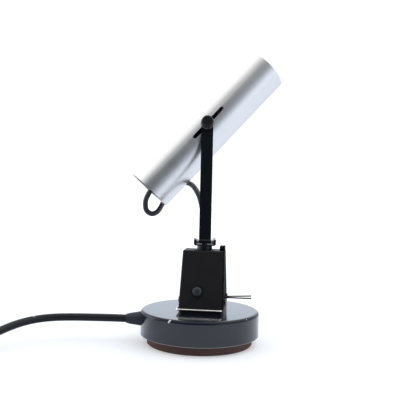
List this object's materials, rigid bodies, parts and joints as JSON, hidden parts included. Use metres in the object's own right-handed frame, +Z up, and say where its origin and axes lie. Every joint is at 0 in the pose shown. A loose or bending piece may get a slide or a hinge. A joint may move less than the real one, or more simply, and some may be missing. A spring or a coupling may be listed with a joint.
{
  "type": "tabletop searchlight lamp",
  "caption": "Tabletop searchlight lamp: round weighted base, tapered switch housing, folding arm on a swivel, and a metal tube head that tilts and slides, with its flex.",
  "frame": {"origin": "centre of the sole's underside, on the table", "axes": "+Z up, the switch faces -Y, the lamp shines towards +X and up"},
  "size_m": [0.4042, 0.1952, 0.3004],
  "materials": {
    "base_shell": "glossy blue-black stove enamel",
    "ballast": "rough casting",
    "bottom_plate": "plain steel",
    "sole": "dark brown, matt",
    "base_screws": "zinc-plated",
    "tie_bolts": "zinc-plated",
    "tie_nuts": "zinc-plated",
    "cord_gland": "black rubber",
    "inner_lead": "black",
    "pedestal_foot": "satin black",
    "hood": "satin black enamel",
    "hood_side_plate": "satin black enamel",
    "hood_screws": "blackened",
    "chassis": "zinc-plated",
    "terminal_block": "brown moulded resin",
    "terminal_screws": "bright",
    "hood_lead": "black",
    "switch_body": "black moulded resin",
    "switch_bezel": "nickel-plated",
    "switch_button": "black",
    "wire_bail": "plated wire",
    "lever_bracket": "zinc-plated",
    "lever_pin": "bright",
    "lever_hub": "black moulded resin",
    "lever_rod_upper": "tarnished brown",
    "lever_rod_lower": "dark wire",
    "swivel_bush": "dark nickel",
    "swivel_stem": "bright",
    "spring_washer": "spring steel",
    "swivel_nut": "zinc-plated",
    "clevis": "nickel-plated",
    "hinge_pin": "bright",
    "hinge_spacers": "bright",
    "arm": "satin blue-black",
    "knob_washer": "zinc-plated",
    "fibre_washer": "red-brown fibre",
    "clamp_plate": "plain",
    "clamp_stud": "bright",
    "knob": "black moulded resin, milled",
    "head_tube": "satin, white reflection",
    "lamp_carrier": "plain",
    "carrier_screws": "zinc-plated",
    "lampholder": "black moulded resin",
    "holder_nut": "bright",
    "bulb_contact": "bright",
    "bulb_cap": "bright",
    "bulb_glass": "clear front, mirrored back",
    "head_cord": "black flex",
    "mains_cord": "black flex",
    "mains_coil": "black flex",
    "mains_tail": "black flex",
    "mains_plug": "black moulded",
    "plug_prongs": "nickel-plated brass"
  },
  "bodies": {
    "base": {"base_shell": "base_shell", "ballast": "ballast", "bottom_plate": "bottom_plate", "sole": "sole", "base_screws": "base_screws", "tie_bolts": "tie_bolts", "tie_nuts": "tie_nuts", "cord_gland": "cord_gland", "inner_lead": "inner_lead", "pedestal_foot": "pedestal_foot", "hood": "hood", "hood_side_plate": "hood_side_plate", "hood_screws": "hood_screws", "chassis": "chassis", "terminal_block": "terminal_block", "terminal_screws": "terminal_screws", "hood_lead": "hood_lead", "switch_body": "switch_body", "switch_bezel": "switch_bezel", "lever_bracket": "lever_bracket", "lever_pin": "lever_pin", "swivel_bush": "swivel_bush", "mains_cord": "mains_cord", "mains_coil": "mains_coil", "mains_tail": "mains_tail", "mains_plug": "mains_plug", "plug_prongs": "plug_prongs"},
    "button": {"switch_button": "switch_button"},
    "bail": {"wire_bail": "wire_bail"},
    "lever": {"lever_hub": "lever_hub", "lever_rod_upper": "lever_rod_upper", "lever_rod_lower": "lever_rod_lower"},
    "clevis": {"clevis": "clevis", "swivel_stem": "swivel_stem", "spring_washer": "spring_washer", "swivel_nut": "swivel_nut", "hinge_pin": "hinge_pin", "hinge_spacers": "hinge_spacers"},
    "arm": {"arm": "arm", "knob_washer": "knob_washer", "fibre_washer": "fibre_washer"},
    "clamp": {"clamp_plate": "clamp_plate", "clamp_stud": "clamp_stud"},
    "knob": {"knob": "knob"},
    "lamp_tube": {"head_tube": "head_tube", "lamp_carrier": "lamp_carrier", "carrier_screws": "carrier_screws", "lampholder": "lampholder", "holder_nut": "holder_nut", "bulb_contact": "bulb_contact", "bulb_cap": "bulb_cap", "bulb_glass": "bulb_glass", "head_cord": "head_cord"}
  },
  "joints": [
    {"name": "swivel_pan", "type": "hinge", "parent": "base", "child": "clevis", "pos_m": [0.0034, 0, 0.0932], "axis": [0, 0, 1], "range_deg": [-160, 160], "deforming": ["head_cord"]},
    {"name": "arm_lean", "type": "hinge", "parent": "clevis", "child": "arm", "pos_m": [0.00403, -0.00556, 0.1018], "axis": [0.9936, 0.1132, 0], "range_deg": [-30, 45], "deforming": ["head_cord"]},
    {"name": "tube_tilt", "type": "hinge", "parent": "arm", "child": "clamp", "pos_m": [0.00226, 0.01002, 0.22097], "axis": [0.1122, -0.9851, 0.1305], "range_deg": [-110, 60], "deforming": ["head_cord"]},
    {"name": "knob_turn", "type": "hinge", "parent": "clamp", "child": "knob", "pos_m": [0.00226, 0.01002, 0.22097], "axis": [0.1122, -0.9851, 0.1305], "range_deg": [-180, 180]},
    {"name": "tube_slide", "type": "slide", "parent": "clamp", "child": "lamp_tube", "axis": [0.6499, 0.1721, 0.7403], "range_m": [-0.0185, 0.0155], "deforming": ["head_cord"]},
    {"name": "switch_press", "type": "slide", "parent": "base", "child": "button", "axis": [0, 0.9734, -0.229], "range_m": [0, 0.002], "stiffness_N_per_m": 900, "springref_m": -0.001},
    {"name": "bail_swing", "type": "hinge", "parent": "base", "child": "bail", "pos_m": [0.023, 0, 0.0368], "axis": [0, 1, 0], "range_deg": [-3.5, 5]},
    {"name": "lever_rock", "type": "hinge", "parent": "base", "child": "lever", "pos_m": [0.0174, 0, 0.0461], "axis": [0, -1, 0], "range_deg": [-8, 8]}
  ]
}
